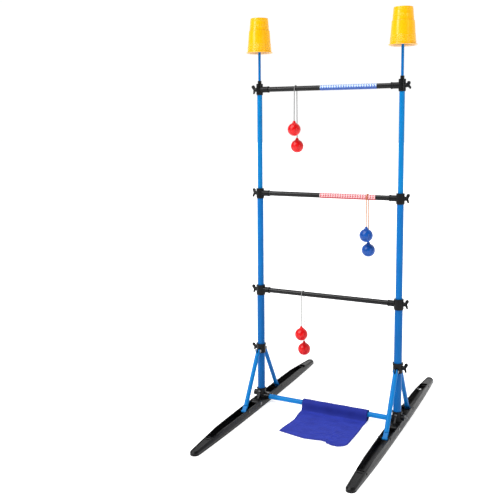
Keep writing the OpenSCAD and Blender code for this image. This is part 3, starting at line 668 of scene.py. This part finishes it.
def ripple(x, y):
    """Height that creases and one soft fold add to the cloth on the floor, before it settles."""
    fold_x = 66 + (y + 205) * 0.28
    near = min(1.0, max(0.0, (-24 - y) / 60))
    fold = 10.0 * math.exp(-((x - fold_x) / 13) ** 2) * min(1.0, max(0.0, (-70 - y) / 90))
    long_wave = 1.6 * math.sin(x / 17 + y / 41)
    short_wave = 1.1 * math.sin(x / 8.5 - y / 23 + 1.3)
    cross_wave = 0.8 * math.sin(y / 11 + x / 60)
    wave = long_wave + short_wave + cross_wave
    curl = 5.0 * math.exp(-((x + 80) ** 2 + (y + 182) ** 2) / 600)
    return fold + near * (2.4 + wave) + curl


def settle(cloth, pinned, frames=34):
    """Drops the cloth on the floor with Blender's cloth simulation, and keeps the shape that it reaches."""
    group = cloth.vertex_groups.new(name="pinned")
    group.add(pinned, 1.0, "REPLACE")
    ground = mesh_from("settling_ground", [(-1, -1, 0), (1, -1, 0), (1, 1, 0), (-1, 1, 0)], [(0, 1, 2, 3)],
                       MAT["blue_cloth"], smooth=False)
    ground.modifiers.new("ground", "COLLISION")
    ground.collision.thickness_outer = 0.001
    ground.collision.cloth_friction = 40
    modifier = cloth.modifiers.new("settle", "CLOTH")
    settings = modifier.settings
    settings.quality = 8
    settings.mass = 0.12
    settings.tension_stiffness = settings.compression_stiffness = 30
    settings.shear_stiffness = 12
    settings.bending_stiffness = 0.35
    settings.air_damping = 3
    settings.vertex_group_mass = "pinned"
    modifier.collision_settings.distance_min = 0.001
    modifier.point_cache.frame_start = 1
    modifier.point_cache.frame_end = frames
    scene = bpy.context.scene
    for number in range(1, frames + 1):
        scene.frame_set(number)
    result = cloth.evaluated_get(bpy.context.evaluated_depsgraph_get())
    places = [v.co.copy() for v in result.data.vertices]
    cloth.modifiers.remove(modifier)
    scene.frame_set(1)
    for vertex, place in zip(cloth.data.vertices, places):
        vertex.co = place
        vertex.co.z = max(vertex.co.z, CLOTH_CLEAR)
    bpy.data.objects.remove(ground)


def flap_points(sleeve, columns, panel_rows):
    """Rows of points round the sleeve and then out over the floor."""
    points = []
    for _, y, z in sleeve[:-1]:
        for c in range(columns + 1):
            x = between(((0, FLAP_X[0]), (1, FLAP_X[1])), c / columns)
            points.append(Vector((x, y, z + 0.25 * math.sin(x / 9.0 + y / 4))) * MM)
    _, seam_y, seam_z = sleeve[-1]
    for r in range(panel_rows + 1):
        t = r / panel_rows
        left, right = between(PANEL_LEFT, t), between(PANEL_RIGHT, t)
        gather = max(0.0, 1 - t * 8)
        for c in range(columns + 1):
            u = c / columns
            x = (left + (right - left) * u) * (1 - gather) + (FLAP_X[0] + FLAP_W * u) * gather
            y = seam_y + (between(PANEL_FRONT, u) - seam_y) * t
            z = seam_z + (PANEL_Z - seam_z) * min(1.0, t * 9) + ripple(x, y)
            points.append(Vector((x, y, z)) * MM)
    return points


def flap_uvs(sleeve_rows, columns, panel_rows):
    """Places on the flat cloth, in metres: along the bar, and from the sleeve's hidden edge outwards."""
    uvs = []
    for r in range(sleeve_rows + panel_rows):
        in_panel = (r - sleeve_rows + 1) / panel_rows
        v = GIRTH * r / (sleeve_rows - 1) if in_panel < 0 else GIRTH + PANEL_D * in_panel
        uvs += [(FLAP_W * c / columns * MM, v * MM) for c in range(columns + 1)]
    return uvs


def make_flap():
    sleeve, columns, panel_rows = sleeve_line(), 56, 48
    wide = columns + 1
    verts = flap_points(sleeve, columns, panel_rows)
    faces = [(r * wide + c, r * wide + c + 1, (r + 1) * wide + c + 1, (r + 1) * wide + c)
             for r in range(len(sleeve) - 1 + panel_rows) for c in range(columns)]
    flap = mesh_from("flap_cloth", verts, faces, MAT["blue_cloth"])
    uvs = flap_uvs(len(sleeve), columns, panel_rows)
    layer = flap.data.uv_layers.new(name="UVMap")
    for loop in flap.data.loops:
        layer.data[loop.index].uv = uvs[loop.vertex_index]
    settle(flap, list(range(wide * (len(sleeve) + 1))))
    smooth = flap.modifiers.new("finer", "SUBSURF")
    smooth.levels = smooth.render_levels = 1
    thick = flap.modifiers.new("thickness", "SOLIDIFY")
    thick.thickness = CLOTH_T
    thick.offset = 1.0
    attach(flap, "flap")
    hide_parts("flap")


# ---- Stage ----

def make_floor():
    mesh = bpy.data.meshes.new("floor")
    bm = bmesh.new()
    bmesh.ops.create_grid(bm, x_segments=40, y_segments=40, size=30)
    bm.to_mesh(mesh)
    bm.free()
    floor = new_object("floor", mesh)
    floor.location.z = -0.0004
    mesh.materials.append(floor_paper("floor_paper"))


def make_world():
    """White behind the object, dimmer towards the camera's side, so that the lamps shape the object."""
    world = bpy.data.worlds.new("studio")
    world.use_nodes = True
    tree = world.node_tree
    background = tree.nodes["Background"]
    background.inputs["Color"].default_value = (1, 1, 1, 1)
    way = tree.nodes.new("ShaderNodeTexCoord")
    split = tree.nodes.new("ShaderNodeSeparateXYZ")
    dim = tree.nodes.new("ShaderNodeMapRange")
    for socket, value in (("From Min", -0.3), ("From Max", 0.55), ("To Min", 0.16), ("To Max", 1.03)):
        dim.inputs[socket].default_value = value
    tree.links.new(way.outputs["Generated"], split.inputs[0])
    tree.links.new(split.outputs["Y"], dim.inputs["Value"])
    tree.links.new(dim.outputs["Result"], background.inputs["Strength"])
    bpy.context.scene.world = world


LIGHTS = (
    # name, kind, place, target, size in metres or the sun's angle, power
    ("dome", "SUN", (-1.2, -2.0, 3.4), (0, 0, 0), math.radians(45), 2.7),
    ("key", "AREA", (-1.7, -2.4, 2.2), (0, 0, 0.7), 0.9, 34),
    ("fill", "AREA", (2.6, -1.2, 1.3), (0.2, 0, 0.6), 0.5, 14),
)


def make_lights():
    for name, kind, place, target, size, power in LIGHTS:
        data = bpy.data.lights.new(name, kind)
        if kind == "SUN":
            data.angle = size
        else:
            data.size = size
        data.energy = power
        light = bpy.data.objects.new(name, data)
        bpy.context.scene.collection.objects.link(light)
        light.location = place
        light.rotation_mode = "QUATERNION"
        light.rotation_quaternion = (Vector(target) - Vector(place)).to_track_quat("-Z", "Y")
    bpy.context.scene.view_settings.view_transform = "Standard"


make_camera()
make_cords()
make_balls()
make_cups()
make_bands()
make_flap()
dress_nodes()
make_floor()
make_world()
make_lights()
